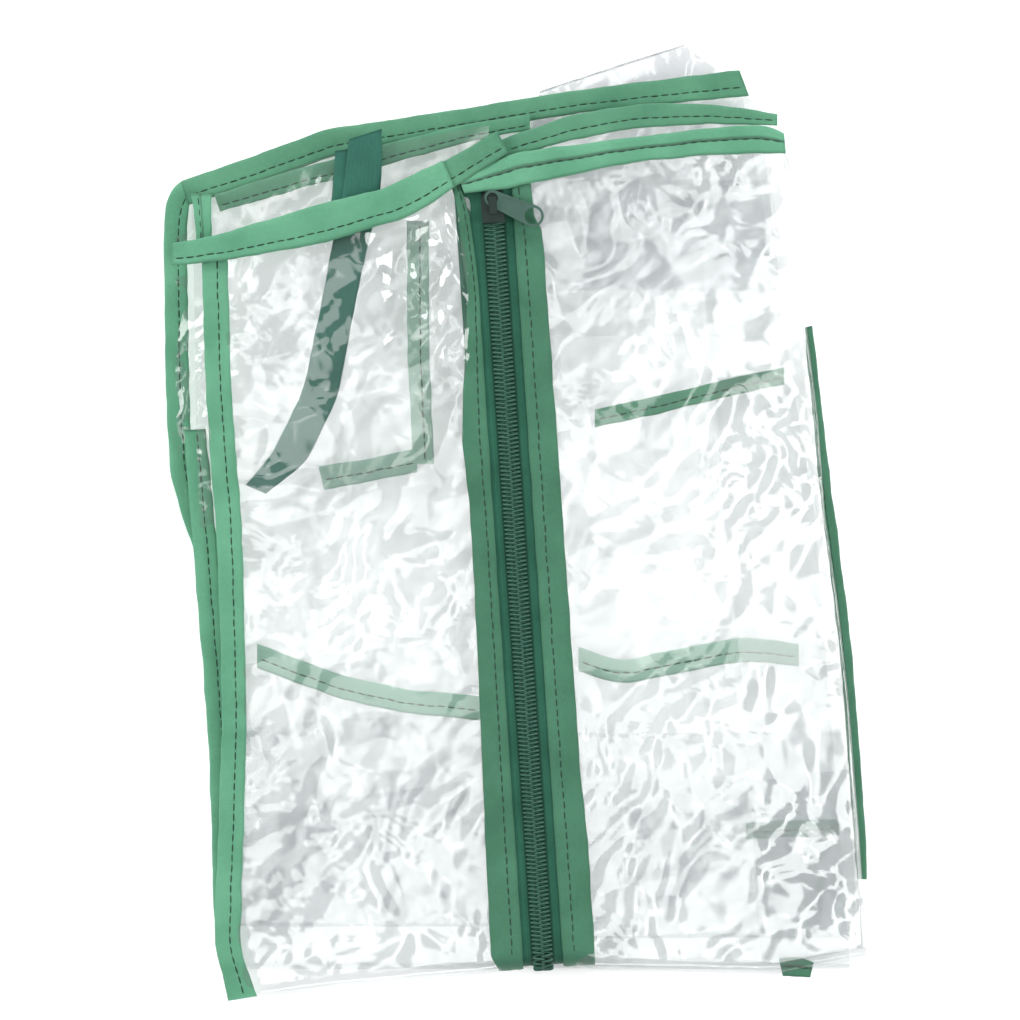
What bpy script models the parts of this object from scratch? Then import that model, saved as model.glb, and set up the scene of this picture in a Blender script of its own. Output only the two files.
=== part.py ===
"""Cover of a small walk-in greenhouse, folded flat: clear film panels with bound edges and a coil zip.

Lengths below are millimetres; the mesh helpers turn them into metres. +Z is up, +Y runs from the hem
to the roof edge along the zip, and the origin is under the middle of the folded cover.
"""
import math

import bmesh
import bpy
from mathutils import Matrix, Vector

MM = 0.001

# Driving dimensions -------------------------------------------------------------------------------
FILM = 0.6                  # depth kept for one leaf of film with the air caught in it
GAP = 0.3                   # air between pieces that lie on each other
WALL = 0.4                  # binding tape, folded once
WRAP = 2.0                  # overall depth of a binding wrapped round a film edge
Z_BACK, Z_SIDE, Z_ROOF, Z_FRONT = 6.0, 10.8, 13.2, 15.6     # mid-depth of each bound leaf

ZIP_TOP = (-7.4, 105.7)     # where the coil centre line meets the slider's lower end at the top
ZIP_END = (9.8, -153.0)     # where the zip turns under at the bottom fold
TAPE = 0.5                  # woven zip tape
COIL_IN, COIL_OUT, COIL_HIGH = 0.6, 3.0, 1.8
BIND_IN = 6.9               # zip bindings start this far from the coil centre line

SLIDER_LONG, SLIDER_S = 11.0, -2.8
PLATE, BRIDGE_WIDE, BRIDGE_HIGH = 1.1, 2.8, 2.75
EYE_R, EYE_HOLE = 2.76, 1.9
END_R, END_HOLE = 3.75, 2.85
PULL_LONG, PULL_THICK, PULL_ANGLE = 15.3, 1.1, -24.0
EYE_S = -3.0                # eye centre, measured from the slider's middle along the zip


# Materials ----------------------------------------------------------------------------------------
def material(name, rgb, rough, metal=0.0, alpha=1.0):
    mat = bpy.data.materials.new(name)
    mat.use_nodes = True
    mat.diffuse_color = (*rgb, alpha)
    shader = mat.node_tree.nodes["Principled BSDF"]
    shader.inputs["Base Color"].default_value = (*rgb, 1.0)
    shader.inputs["Roughness"].default_value = rough
    shader.inputs["Metallic"].default_value = metal
    shader.inputs["Alpha"].default_value = alpha
    return mat


# Shape helpers ------------------------------------------------------------------------------------
def loft(name, rings, closed, ends, mat, home):
    """Skin over rings of millimetre points; closed joins each ring's end to its start."""
    count = len(rings[0])
    points = [Vector(p) * MM for ring in rings for p in ring]
    last = count if closed else count - 1
    faces = [(k * count + j, k * count + (j + 1) % count,
              (k + 1) * count + (j + 1) % count, (k + 1) * count + j)
             for k in range(len(rings) - 1) for j in range(last)]
    for start in (0, (len(rings) - 1) * count):
        faces += [tuple(start + j for j in face) for face in ends]
    mesh = bpy.data.meshes.new(name)
    mesh.from_pydata(points, [], faces)
    work = bmesh.new()
    work.from_mesh(mesh)
    bmesh.ops.recalc_face_normals(work, faces=work.faces)
    work.to_mesh(mesh)
    work.free()
    mesh.materials.append(mat)
    obj = bpy.data.objects.new(name, mesh)
    home.objects.link(obj)
    return obj


def prism(name, outline, low, high, mat, home, origin=(0.0, 0.0)):
    """A flat piece of constant depth: a filled 2D curve, extruded, with its origin where it turns."""
    shape = bpy.data.curves.new(name, "CURVE")
    shape.dimensions, shape.fill_mode = "2D", "BOTH"
    shape.extrude = (high - low) / 2 * MM
    shape.render_resolution_u = 0
    line = shape.splines.new("POLY")
    line.points.add(len(outline) - 1)
    for point, (x, y) in zip(line.points, outline):
        point.co = ((x - origin[0]) * MM, (y - origin[1]) * MM, 0.0, 1.0)
    line.use_cyclic_u = True
    shape.materials.append(mat)
    obj = bpy.data.objects.new(name, shape)
    obj.location = (origin[0] * MM, origin[1] * MM, (low + high) / 2 * MM)
    home.objects.link(obj)
    return obj


def as_mesh(curve, home):
    """The same piece as one welded mesh, so that a Boolean can work on it."""
    bpy.context.view_layer.update()
    depsgraph = bpy.context.evaluated_depsgraph_get()
    mesh = bpy.data.meshes.new_from_object(curve.evaluated_get(depsgraph))
    work = bmesh.new()
    work.from_mesh(mesh)
    bmesh.ops.remove_doubles(work, verts=work.verts, dist=0.00001)
    bmesh.ops.recalc_face_normals(work, faces=work.faces)
    work.to_mesh(mesh)
    work.free()
    name, place = curve.name, curve.matrix_world.copy()
    bpy.data.objects.remove(curve)
    obj = bpy.data.objects.new(name, mesh)
    obj.matrix_world = place
    home.objects.link(obj)
    return obj


def solid(name, size, place, mat, home, round_sides=0):
    """A box, or a cylinder with that many sides, of the given size in millimetres, placed by matrix."""
    work = bmesh.new()
    if round_sides:
        bmesh.ops.create_cone(work, cap_ends=True, segments=round_sides, radius1=size[0] / 2 * MM,
                              radius2=size[0] / 2 * MM, depth=size[2] * MM)
    else:
        bmesh.ops.create_cube(work, size=MM)
        bmesh.ops.scale(work, vec=size, verts=work.verts)
    mesh = bpy.data.meshes.new(name)
    work.to_mesh(mesh)
    work.free()
    mesh.materials.append(mat)
    obj = bpy.data.objects.new(name, mesh)
    obj.matrix_world = place
    home.objects.link(obj)
    return obj


def strip(name, edge_a, edge_b, low, high, mat, home):
    """A flat ribbon between two edges that have the same number of points."""
    return prism(name, list(edge_a) + list(edge_b)[::-1], low, high, mat, home)


def resample(line, count):
    """The same polyline with evenly spaced points."""
    lengths = [0.0]
    for p, q in zip(line, line[1:]):
        lengths.append(lengths[-1] + math.dist(p, q))
    result = []
    for i in range(count):
        want = lengths[-1] * i / (count - 1)
        k = max(j for j in range(len(line) - 1) if lengths[j] <= want + 1e-9)
        share = (want - lengths[k]) / (lengths[k + 1] - lengths[k])
        result.append(tuple(a + share * (b - a) for a, b in zip(line[k], line[k + 1])))
    return result


BINDING_ENDS = ((0, 1, 4), (1, 2, 3, 4), (0, 4, 5, 9), (9, 5, 8), (5, 6, 7, 8))


def binding(name, outer, inner, mid, mat, home, count=12, half=WRAP / 2):
    """Tape folded round a film edge: shut along `outer`, open along `inner`, film slot between."""
    slot, shut, turn = half - WALL, half / 2, 0.5
    rings = []
    for (ax, ay), (bx, by) in zip(resample(outer, count), resample(inner, count)):
        wide = math.dist((ax, ay), (bx, by))
        ux, uy = (bx - ax) / wide, (by - ay) / wide
        section = [(0.0, -shut), (turn, -half), (wide, -half), (wide, -slot), (0.9, -slot),
                   (0.9, slot), (wide, slot), (wide, half), (turn, half), (0.0, shut)]
        rings.append([(ax + ux * w, ay + uy * w, mid + z) for w, z in section])
    return loft(name, rings, True, BINDING_ENDS, mat, home)


def along(line, at):
    """Second coordinate of a polyline at a given first coordinate."""
    if at <= line[0][0]:
        return line[0][1]
    for (a0, b0), (a1, b1) in zip(line, line[1:]):
        if at <= a1:
            return b0 + (b1 - b0) * (at - a0) / (a1 - a0)
    return line[-1][1]


def folded(name, legs, low_edge, high_edge, mat, home, along_y=True, count=9, cuts=7):
    """A film panel folded back and forth.

    legs lists (start, end, depth) from the bound leaf down, start and end being functions of the
    cross position u from 0 to 1; each leg turns into the next through a half round. low_edge and
    high_edge give the two sides of the panel along the fold path.
    """
    rings = []
    for k in range(count):
        u = k / (count - 1)
        path = []
        for n, (start, end, depth) in enumerate(legs):
            a, b = start(u), end(u)
            way = 1 if b > a else -1
            before = (legs[n - 1][2] - depth) / 2 if n else 0.0
            after = (depth - legs[n + 1][2]) / 2 if n + 1 < len(legs) else 0.0
            a, b = a + way * before, b - way * after
            path += [(a + (b - a) * i / cuts, depth) for i in range(cuts + 1)]
            if after:
                path += [(b + way * after * math.sin(math.pi * i / 6),
                          depth - after + after * math.cos(math.pi * i / 6)) for i in range(1, 6)]
        ring = []
        for a, z in path:
            side_lo, side_hi = along(low_edge, a), along(high_edge, a)
            b = side_lo + u * (side_hi - side_lo)
            ring.append((b, a, z) if along_y else (a, b, z))
        rings.append(ring)
    leaf = loft(name, rings, False, (), mat, home)
    shell = leaf.modifiers.new("film_depth", "SOLIDIFY")
    shell.thickness, shell.offset = FILM * MM, 0.0
    return leaf


def flat(value):
    return lambda u: value


def ramp(*values):
    """Evenly spaced values along u, joined by straight lines."""
    def at(u):
        x = u * (len(values) - 1)
        i = min(int(x), len(values) - 2)
        return values[i] + (x - i) * (values[i + 1] - values[i])
    return at


# Zip frame ----------------------------------------------------------------------------------------
ZIP_LONG = math.dist(ZIP_TOP, ZIP_END)
DOWN = ((ZIP_END[0] - ZIP_TOP[0]) / ZIP_LONG, (ZIP_END[1] - ZIP_TOP[1]) / ZIP_LONG)
ACROSS = (-DOWN[1], DOWN[0])


def on_zip(s, t):
    """Point s along the zip from its top and t to its right."""
    return (ZIP_TOP[0] + s * DOWN[0] + t * ACROSS[0], ZIP_TOP[1] + s * DOWN[1] + t * ACROSS[1])


def zip_pair(kind, near, far, low, high, mat, home, top=-9.0):
    for side, sign in (("left", -1), ("right", 1)):
        edges = [[on_zip(s, sign * t) for s in (top, ZIP_LONG)] for t in (near, far)]
        strip("%s_%s" % (kind, side), edges[0], edges[1], low, high, mat, home)


# Film panels --------------------------------------------------------------------------------------
def back_panel(mat, home):
    """Back wall: its bound leaf lies under the top and left bindings, the rest is doubled below."""
    left = [(-155, -98.0), (-10, -108.6), (15, -117.0), (40, -118.6), (108, -119.2), (112, -113.0)]
    right = [(-155, 116.0), (0, 104.0), (120, 84.0), (155, 76.0)]
    top = ramp(112.5, 126.5, 133.5, 138.5, 142.5, 147.0, 151.5)
    folded("back_panel", [(top, flat(-153.0), Z_BACK), (flat(-153.0), top, 1.7),
                          (top, flat(-153.0), 0.3)], left, right, mat, home, count=13)


def roof_panel(mat, home):
    """Roof: tucked between the leaves of the back wall, its free corner standing out at the top."""
    left = [(-60, -92.0), (100, -84.0), (149, 9.0), (165.4, 57.0)]
    right = [(-60, 96.0), (144, 84.5), (156, 70.5), (165.4, 60.0)]
    folded("roof_panel", [(flat(165.4), flat(-60.0), 4.2), (flat(-60.0), flat(60.0), 2.9)],
           left, right, mat, home, cuts=10)


def left_side_panel(mat, home):
    left = [(-141, -102.0), (-82, -103.9), (-51, -106.0), (-10, -109.0), (31, -110.0), (96, -112.0)]
    right = [(-141, -9.0), (96, -9.0)]
    folded("left_side_panel", [(flat(94.0), flat(-139.0), Z_SIDE), (flat(-139.0), flat(92.0), 9.1),
                               (flat(92.0), flat(-120.0), 7.6)], left, right, mat, home)


def right_side_panel(mat, home):
    left = [(-145, -5.0), (120, -5.0)]
    right = [(-145, 119.0), (-116, 117.0), (-67, 113.6), (-41, 111.6), (14, 104.6), (68, 99.0),
             (120, 88.0)]
    folded("right_side_panel", [(flat(118.0), flat(-143.0), Z_SIDE), (flat(-143.0), flat(112.0), 9.1),
                                (flat(112.0), flat(-110.0), 7.6)], left, right, mat, home)


def side_top_panel(mat, home):
    """Film of the side wall that hangs from the upper right binding."""
    left = [(60, -2.0), (128, -2.0), (134, 2.0)]
    right = [(60, 88.0), (134, 88.5), (140, 88.5)]
    folded("side_top_panel", [(ramp(129.5, 135.5, 139.5, 141.0, 140.2, 139.3), flat(64.0), Z_ROOF)],
           left, right, mat, home)


def front_left_panel(mat, home):
    """Door panel left of the zip, bound at the top and along its left edge."""
    outline = [(-105.5, 91.5), (-64.2, 103.8), (-38.0, 112.0), (-26.0, 117.5), (-21.6, 113.0)]
    outline += [on_zip(s, -BIND_IN - 0.9) for s in (-3.0, 60.0, 150.0, ZIP_LONG)]
    outline += [(-7.2, -155.4), (-53.1, -158.9), (-90.0, -161.0), (-96.8, -161.2), (-101.2, -144.0),
                (-99.8, -107.8), (-98.6, -67.1), (-100.1, -9.8), (-102.5, 15.4), (-104.4, 48.8)]
    prism("front_left_panel", outline, Z_FRONT - FILM / 2, Z_FRONT + FILM / 2, mat, home)


def front_right_panel(mat, home):
    """Door panel right of the zip; it turns back under itself along the right edge."""
    low = [(-20, -154.6), (18.0, -155.6), (92, -155.6), (104, -154.4), (121.75, -150.9)]
    high = [(-4, 118.0), (6, 120.5), (40, 127.5), (69, 131.0), (86, 131.0), (90, 125.0), (121, 124.0)]
    right = ramp(121.45, 118.6, 114.9, 108.6, 103.8, 97.4, 91.6)
    left = ramp(*[on_zip(ZIP_LONG - s * 5.0, BIND_IN + 0.9)[0] for s in range(54)])
    folded("front_right_panel", [(left, right, Z_FRONT), (right, lambda u: right(u) - 34.0, 14.2)],
           low, high, mat, home, along_y=False, count=29, cuts=9)


# Bindings, tie and zip ----------------------------------------------------------------------------
def back_bindings(mat, home):
    binding("back_top_binding",
            [(-115.6, 117.9), (-92.5, 126.1), (-64.2, 136.4), (-33.8, 140.6), (5.2, 147.1),
             (29.3, 150.6), (77.6, 156.5)],
            [(-113.2, 109.6), (-89.0, 117.0), (-60.4, 127.5), (-31.0, 132.3), (5.9, 138.9),
             (29.3, 142.4), (81.0, 147.4)], Z_BACK, mat, home, 18)
    binding("back_left_binding",
            [(-117.0, 116.6), (-119.6, 114.6), (-121.6, 106.1), (-121.75, 86.1), (-120.9, 38.5), (-119.4, 15.4),
             (-116.6, 5.3), (-111.4, -9.8)],
            [(-114.0, 109.6), (-113.8, 107.0), (-113.6, 100.0), (-113.4, 86.0), (-112.6, 38.5), (-111.0, 17.0),
             (-108.2, 6.5), (-103.6, -7.0)], Z_BACK, mat, home, 16)


def side_bindings(mat, home):
    binding("left_side_binding",
            [(-114.6, 31.6), (-111.4, -9.8), (-108.0, -51.6), (-105.9, -82.3), (-104.2, -137.0)],
            [(-107.0, 32.0), (-102.8, -9.0), (-99.4, -51.0), (-97.4, -82.0), (-95.8, -136.8)],
            Z_SIDE, mat, home)
    binding("right_side_binding",
            [(102.5, 67.8), (108.3, 14.3), (115.2, -40.9), (117.3, -67.1), (120.6, -115.7),
             (120.9, -123.7)],
            [(94.0, 67.0), (99.6, 13.3), (106.4, -41.6), (108.6, -67.6), (111.9, -115.9),
             (112.2, -123.4)], Z_SIDE, mat, home)
    binding("side_top_binding",
            [(-1.0, 133.0), (22.1, 141.4), (48.3, 145.1), (74.9, 143.7), (90.6, 140.9)],
            [(-1.0, 126.4), (17.6, 131.3), (39.7, 135.8), (65.9, 137.3), (90.6, 136.9)],
            Z_ROOF, mat, home)


def front_bindings(mat, home):
    binding("front_left_top_binding",
            [(-118.3, 96.1), (-104.2, 98.8), (-64.2, 110.9), (-46.6, 114.6), (-25.0, 124.7)],
            [(-118.3, 88.4), (-100.7, 89.9), (-64.2, 96.4), (-33.8, 106.1), (-20.9, 115.4)],
            Z_FRONT, mat, home, 14)
    binding("top_binding_overlap", [(-23.8, 125.2), (-6.2, 134.7)], [(-19.6, 116.2), (-2.1, 127.1)],
            Z_FRONT, mat, home, 4)
    binding("front_right_top_binding",
            [(-1.2, 126.9), (14.8, 129.6), (69.3, 136.4), (91.6, 137.0)],
            [(-15.0, 116.2), (6.2, 116.8), (39.7, 123.9), (68.7, 126.7), (92.5, 126.4)],
            Z_FRONT, mat, home)
    binding("left_front_binding",
            [(-108.3, 88.6), (-107.1, 48.8), (-105.0, 15.4), (-102.8, -9.8), (-101.3, -67.1),
             (-102.5, -107.8), (-104.2, -144.4), (-99.2, -165.4)],
            [(-99.0, 89.2), (-98.0, 48.8), (-96.3, 23.6), (-94.2, -1.2), (-92.5, -71.2),
             (-93.8, -110.4), (-94.8, -147.7), (-89.0, -163.7)], Z_FRONT, mat, home, 18)


def upper_edges(mat, home):
    """Bound edges that show between the two upper bindings."""
    binding("upper_side_binding", [(-112.2, 107.6), (-110.6, 103.0), (-110.4, 100.5)],
            [(-104.6, 110.4), (-104.8, 104.0), (-105.0, 101.8)], 13.0, mat, home, 4, 0.8)
    binding("inner_top_binding",
            [(-104.0, 111.4), (-81.1, 120.6), (-62.1, 125.8), (-39.7, 132.3), (-15.5, 137.8),
             (5.2, 140.9)],
            [(-102.0, 105.4), (-77.6, 114.3), (-62.1, 118.5), (-39.7, 124.7), (-15.5, 131.6),
             (5.2, 135.4)], 8.4, mat, home, 14, 0.8)


def hidden_bands(mat, home):
    """Bound seams of the inner leaves, which show through the film."""
    low, high = 11.95, 12.45
    bands = {
        "upper_left_inner_binding": ([(-68, 19.5), (-50, 22.0), (-33.8, 25.5)],
                                     [(-66, 11.0), (-50, 14.0), (-33.8, 17.0)]),
        "upper_right_inner_binding": ([(27.6, 39.0), (48.3, 43.4), (72.8, 49.2), (93, 53.6)],
                                      [(27.6, 32.4), (48.3, 37.0), (72.8, 43.0), (93, 47.4)]),
        "lower_left_inner_binding": ([(-89, -42.0), (-61.4, -52.5), (-36, -58.0), (-12, -60.0)],
                                     [(-89, -50.5), (-61.4, -61.0), (-36, -66.5), (-12, -68.5)]),
        "lower_right_inner_binding": ([(22, -43.0), (36, -48.0), (66, -42.0), (79, -39.5), (98, -42)],
                                      [(22, -51.5), (36, -56.5), (66, -50.5), (79, -48.0), (98, -50)]),
        "lower_right_hem_binding": ([(80, -104.0), (112, -102.6)], [(80, -110.0), (112, -108.6)]),
        "left_upright_inner_binding": ([(-37.4, 80.0), (-37.4, 29.0)], [(-29.6, 80.0), (-29.6, 29.0)]),
    }
    for name, (edge_a, edge_b) in bands.items():
        strip(name, edge_a, edge_b, low, high, mat, home)
    prism("hem_corner_tab", [(91.1, -150.6), (96.9, -149.2), (103.2, -153.0), (101.8, -157.1),
                             (92.5, -156.6)], 12.0, 12.6, mat, home)


def ties(mat, home):
    """Two webbing ribbons sewn in at the top seam, for tying the rolled-up door."""
    strip("outer_tie", [(-57.3, 132.0), (-58.0, 125.8), (-59.7, 110.9), (-62.8, 97.1), (-66.6, 76.4),
                        (-73.0, 45.4), (-84.0, 23.0), (-93.0, 12.6)],
          [(-45.9, 135.6), (-45.9, 123.3), (-46.6, 110.9), (-50.4, 97.1), (-54.9, 76.4),
           (-61.0, 43.4), (-72.0, 20.5), (-86.0, 9.6)], 13.5, 14.1, mat, home)
    strip("inner_tie", [(-62.2, 128.0), (-62.6, 118.0), (-63.8, 108.0)],
          [(-50.6, 129.5), (-50.8, 119.0), (-51.8, 108.0)], 12.6, 13.2, mat, home)


def zip_bindings(mat, home):
    outer_left = [(-3.0, 10.2), (18.0, 10.4), (38.0, 12.0), (60.0, 14.4), (76.0, 16.0), (101.0, 14.8),
                  (145.0, 15.4), (195.0, 16.6), (222.0, 17.3), (255.0, 17.8), (ZIP_LONG, 15.6)]
    outer_right = [(-9.0, 13.4), (1.0, 14.0), (6.0, 16.4), (60.0, 16.8), (130.0, 17.0), (195.0, 17.2),
                   (218.0, 18.2), (ZIP_LONG, 18.0)]
    for name, sign, top, line in (("zip_left_binding", -1, -3.0, outer_left),
                                  ("zip_right_binding", 1, -9.0, outer_right)):
        near = [on_zip(s, sign * BIND_IN) for s, _ in line]
        far = [on_zip(s, sign * t) for s, t in line]
        strip(name, near, far, Z_FRONT + FILM / 2 + GAP, Z_FRONT + FILM / 2 + GAP + 0.6, mat, home)


def coil_zip(tape_mat, coil_mat, home):
    tape_low = Z_FRONT - TAPE / 2
    zip_pair("zip_tape", COIL_IN, BIND_IN + 0.5, tape_low, tape_low + TAPE, tape_mat, home)
    low = tape_low + TAPE + GAP
    zip_pair("zip_coil", COIL_IN, COIL_OUT, low, low + COIL_HIGH, coil_mat, home)


# Slider and pull ----------------------------------------------------------------------------------
def block(name, t0, t1, s0, s1, z0, z1, mat, home):
    """Box in the slider's own frame: t across the zip, s along it."""
    x, y = on_zip(SLIDER_S + (s0 + s1) / 2, (t0 + t1) / 2)
    lean = Matrix.Rotation(math.atan2(ACROSS[1], ACROSS[0]), 4, "Z")
    place = Matrix.Translation(Vector((x, y, (z0 + z1) / 2)) * MM) @ lean
    return solid(name, (t1 - t0, s1 - s0, z1 - z0), place, mat, home)


def boolean(target, tool, operation):
    step = target.modifiers.new(operation.lower() + "_" + tool.name, "BOOLEAN")
    step.operation, step.solver, step.object = operation, "EXACT", tool


def bevel(obj, width, segments=2, angle=40.0):
    step = obj.modifiers.new("edge_round", "BEVEL")
    step.width, step.segments, step.limit_method = width * MM, segments, "ANGLE"
    step.angle_limit = math.radians(angle)


def zip_slider(mat, home, tools):
    """Two plates joined by a post ahead of the coil, with a strap bridge over the upper plate."""
    half = SLIDER_LONG / 2
    shape = [(-2.2, -half), (2.2, -half), (3.9, -3.2), (4.05, -1.0), (3.85, half),
             (-3.85, half), (-4.05, -1.0), (-3.9, -3.2)]
    outline = [on_zip(SLIDER_S + s, t) for t, s in shape]
    coil_top = Z_FRONT + TAPE / 2 + GAP + COIL_HIGH
    top = coil_top + GAP
    under = Z_FRONT - TAPE / 2 - GAP
    middle = on_zip(SLIDER_S, 0.0)
    body = as_mesh(prism("zip_slider", outline, top, top + PLATE, mat, home, middle), home)
    rise = top + PLATE + BRIDGE_HIGH
    w = BRIDGE_WIDE / 2
    parts = [as_mesh(prism("slider_lower_plate", outline, under - PLATE, under, mat, tools), tools),
             block("slider_post", -0.3, 0.3, -5.1, -2.9, under - 0.4, top + 0.4, mat, tools),
             block("slider_left_flange", -3.7, -3.3, -2.6, 5.0, top - 1.4, top + 0.5, mat, tools),
             block("slider_right_flange", 3.3, 3.7, -2.6, 5.0, top - 1.4, top + 0.5, mat, tools),
             block("bridge_front_leg", 0.2 - w, w - 0.2, -3.3, -2.5, top + 0.5, rise - 0.4, mat, tools),
             block("bridge_rear_leg", 0.2 - w, w - 0.2, 1.5, 2.4, top + 0.5, rise - 0.4, mat, tools),
             block("bridge_strap", -w, w, -3.45, 2.6, rise - 0.9, rise, mat, tools)]
    for piece in parts:
        boolean(body, piece, "UNION")
    bevel(body, 0.14, 1, 60.0)
    return body


def pull_outline(eye, end, length, steps=20):
    """Outline of two discs joined by their outer tangents, the eye disc on the origin."""
    lean = math.acos((eye - end) / length)
    eye_arc = [lean + (2 * math.pi - 2 * lean) * i / steps for i in range(steps + 1)]
    end_arc = [-lean + 2 * lean * i / steps for i in range(steps + 1)]
    return ([(eye * math.cos(a), eye * math.sin(a)) for a in eye_arc]
            + [(length + end * math.cos(a), end * math.sin(a)) for a in end_arc])


def zip_pull_tab(mat, home, tools):
    """Flat cast tab with an eye on the bridge, a finger hole at its end and a sunk face between."""
    turn = math.radians(PULL_ANGLE)
    centre = on_zip(SLIDER_S + EYE_S, 0.0)

    def place(x, y):
        return (centre[0] + x * math.cos(turn) - y * math.sin(turn),
                centre[1] + x * math.sin(turn) + y * math.cos(turn))

    low = Z_FRONT + TAPE / 2 + GAP + COIL_HIGH + GAP + PLATE + 0.4
    high = low + PULL_THICK
    edge = [place(x, y) for x, y in pull_outline(EYE_R, END_R, PULL_LONG)]
    tab = as_mesh(prism("zip_pull_tab", edge, low, high, mat, home, centre), home)
    for name, x, radius in (("eye_cut", 0.0, EYE_HOLE), ("end_cut", PULL_LONG, END_HOLE)):
        middle = Vector((*place(x, 0.0), (low + high) / 2)) * MM
        hole = solid(name, (2 * radius, 2 * radius, PULL_THICK + 2), Matrix.Translation(middle), mat,
                     tools, 40)
        boolean(tab, hole, "DIFFERENCE")
    face = [(3.2, -1.9), (10.4, -2.6), (11.2, -1.6), (11.6, 0.0), (11.2, 1.6), (10.4, 2.6), (3.2, 1.9)]
    for name, z0, z1 in (("upper_face_cut", high - 0.22, high + 1), ("lower_face_cut", low - 1, low + 0.22)):
        sunk = prism(name, [place(x, y) for x, y in face], z0, z1, mat, tools)
        boolean(tab, as_mesh(sunk, tools), "DIFFERENCE")
    bevel(tab, 0.12, 1, 50.0)
    return tab


# Assembly -----------------------------------------------------------------------------------------
def build():
    for obj in list(bpy.data.objects):
        bpy.data.objects.remove(obj)
    scene = bpy.context.scene.collection
    home = bpy.data.collections.new("folded_greenhouse_cover")
    tools = bpy.data.collections.new("cutters")
    scene.children.link(home)
    scene.children.link(tools)

    film = material("clear_film", (0.86, 0.9, 0.92), 0.08, alpha=0.35)
    cloth = material("green_binding", (0.14, 0.40, 0.23), 0.75)
    webbing = material("green_webbing", (0.05, 0.22, 0.15), 0.85)
    tape = material("zip_tape", (0.03, 0.18, 0.12), 0.8)
    coil = material("nylon_coil", (0.02, 0.10, 0.07), 0.4)
    metal = material("painted_zinc", (0.08, 0.17, 0.14), 0.35, metal=0.3)

    for make in (back_panel, roof_panel, left_side_panel, right_side_panel, side_top_panel,
                 front_left_panel, front_right_panel):
        make(film, home)
    for make in (back_bindings, side_bindings, front_bindings, upper_edges, hidden_bands, zip_bindings):
        make(cloth, home)
    ties(webbing, home)
    coil_zip(tape, coil, home)
    zip_slider(metal, home, tools)
    zip_pull_tab(metal, home, tools)
    for tool in tools.objects:
        tool.hide_render = True
        tool.display_type = "WIRE"


build()
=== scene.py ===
# %% [markdown]
# # A folded greenhouse cover
# This lesson dresses a flat-packed cover of clear film: crumpled see-through panels, green bound
# edges, two webbing ties and a nylon coil zip. The plain solids that work in a simulation come in as a
# fixed frame, and every soft piece is rebuilt here on top of them.

# %% Load the frame
import math

import bpy
import numpy as np
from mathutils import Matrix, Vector


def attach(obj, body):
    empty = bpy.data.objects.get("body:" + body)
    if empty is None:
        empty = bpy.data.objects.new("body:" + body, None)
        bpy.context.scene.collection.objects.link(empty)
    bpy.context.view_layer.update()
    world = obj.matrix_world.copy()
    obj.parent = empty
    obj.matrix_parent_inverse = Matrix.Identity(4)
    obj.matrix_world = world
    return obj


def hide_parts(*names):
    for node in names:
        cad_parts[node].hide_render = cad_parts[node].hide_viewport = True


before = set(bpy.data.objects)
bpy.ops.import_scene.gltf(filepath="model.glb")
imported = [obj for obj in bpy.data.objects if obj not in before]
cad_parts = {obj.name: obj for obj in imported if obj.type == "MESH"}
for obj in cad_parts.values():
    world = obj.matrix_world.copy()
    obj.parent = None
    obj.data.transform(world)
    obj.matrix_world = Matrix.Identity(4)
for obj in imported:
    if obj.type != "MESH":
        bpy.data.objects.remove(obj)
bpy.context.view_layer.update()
MM = 0.001
print("frame nodes:", len(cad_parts))

# %% [markdown]
# Colours are written as the eye names them, in sRGB hex, and turned to the linear light that a
# renderer adds up. One helper adds a shader node with its settings and its links, so a material reads
# from top to bottom like a recipe.

# %% Colour and node helpers
def linear(code):
    """sRGB hex to linear RGBA."""
    parts = [int(code[i:i + 2], 16) / 255 for i in (1, 3, 5)]
    return tuple(c / 12.92 if c <= 0.04045 else ((c + 0.055) / 1.055) ** 2.4 for c in parts) + (1.0,)


def node(tree, kind, settings=None, **links):
    """Adds one node; settings go on its properties or sockets, links name input sockets."""
    made = tree.nodes.new(kind)
    for key, value in (settings or {}).items():
        if isinstance(key, str) and hasattr(made, key):
            setattr(made, key, value)
        else:
            made.inputs[key].default_value = value
    for key, source in links.items():
        socket = made.inputs[int(key[1:])] if key[0] == "i" and key[1:].isdigit() else made.inputs[
            key.replace("_", " ")]
        tree.links.new(source, socket)
    return made


def new_material(name):
    made = bpy.data.materials.new(name)
    made.use_nodes = True
    made.node_tree.nodes.clear()
    return made, made.node_tree


# %% [markdown]
# ## Camera
# The cover lies flat and is seen from straight above with a long lens, so its sides hardly show. The
# view takes in 352 mm across. The camera hangs 3 m up, and its lens is worked out from the distance
# to the middle of the cover's thickness.

# %% Camera
VIEW_WIDE = 0.3519
CAMERA_HIGH, COVER_MIDDLE = 3.0, 0.016
SENSOR_WIDE = 36.0
camera_data = bpy.data.cameras.new("camera_above")
camera_data.sensor_width = SENSOR_WIDE
camera_data.lens = SENSOR_WIDE * (CAMERA_HIGH - COVER_MIDDLE) / VIEW_WIDE
camera_data.clip_end = 20.0
camera = bpy.data.objects.new("camera_above", camera_data)
camera.location = (-0.0017, 0.0040, CAMERA_HIGH)
bpy.context.scene.collection.objects.link(camera)
bpy.context.scene.camera = camera
print("lens", round(camera_data.lens, 1), "mm")

# %% [markdown]
# ## Floor
# A product studio uses a wide sweep of matt white paper. It glows a little here, which keeps it evenly
# white up to the cover's edge, and it lies just below the cover so that no two faces share a plane.

# %% Floor
FLOOR_HALF, FLOOR_DROP = 3, 0.0004


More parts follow.
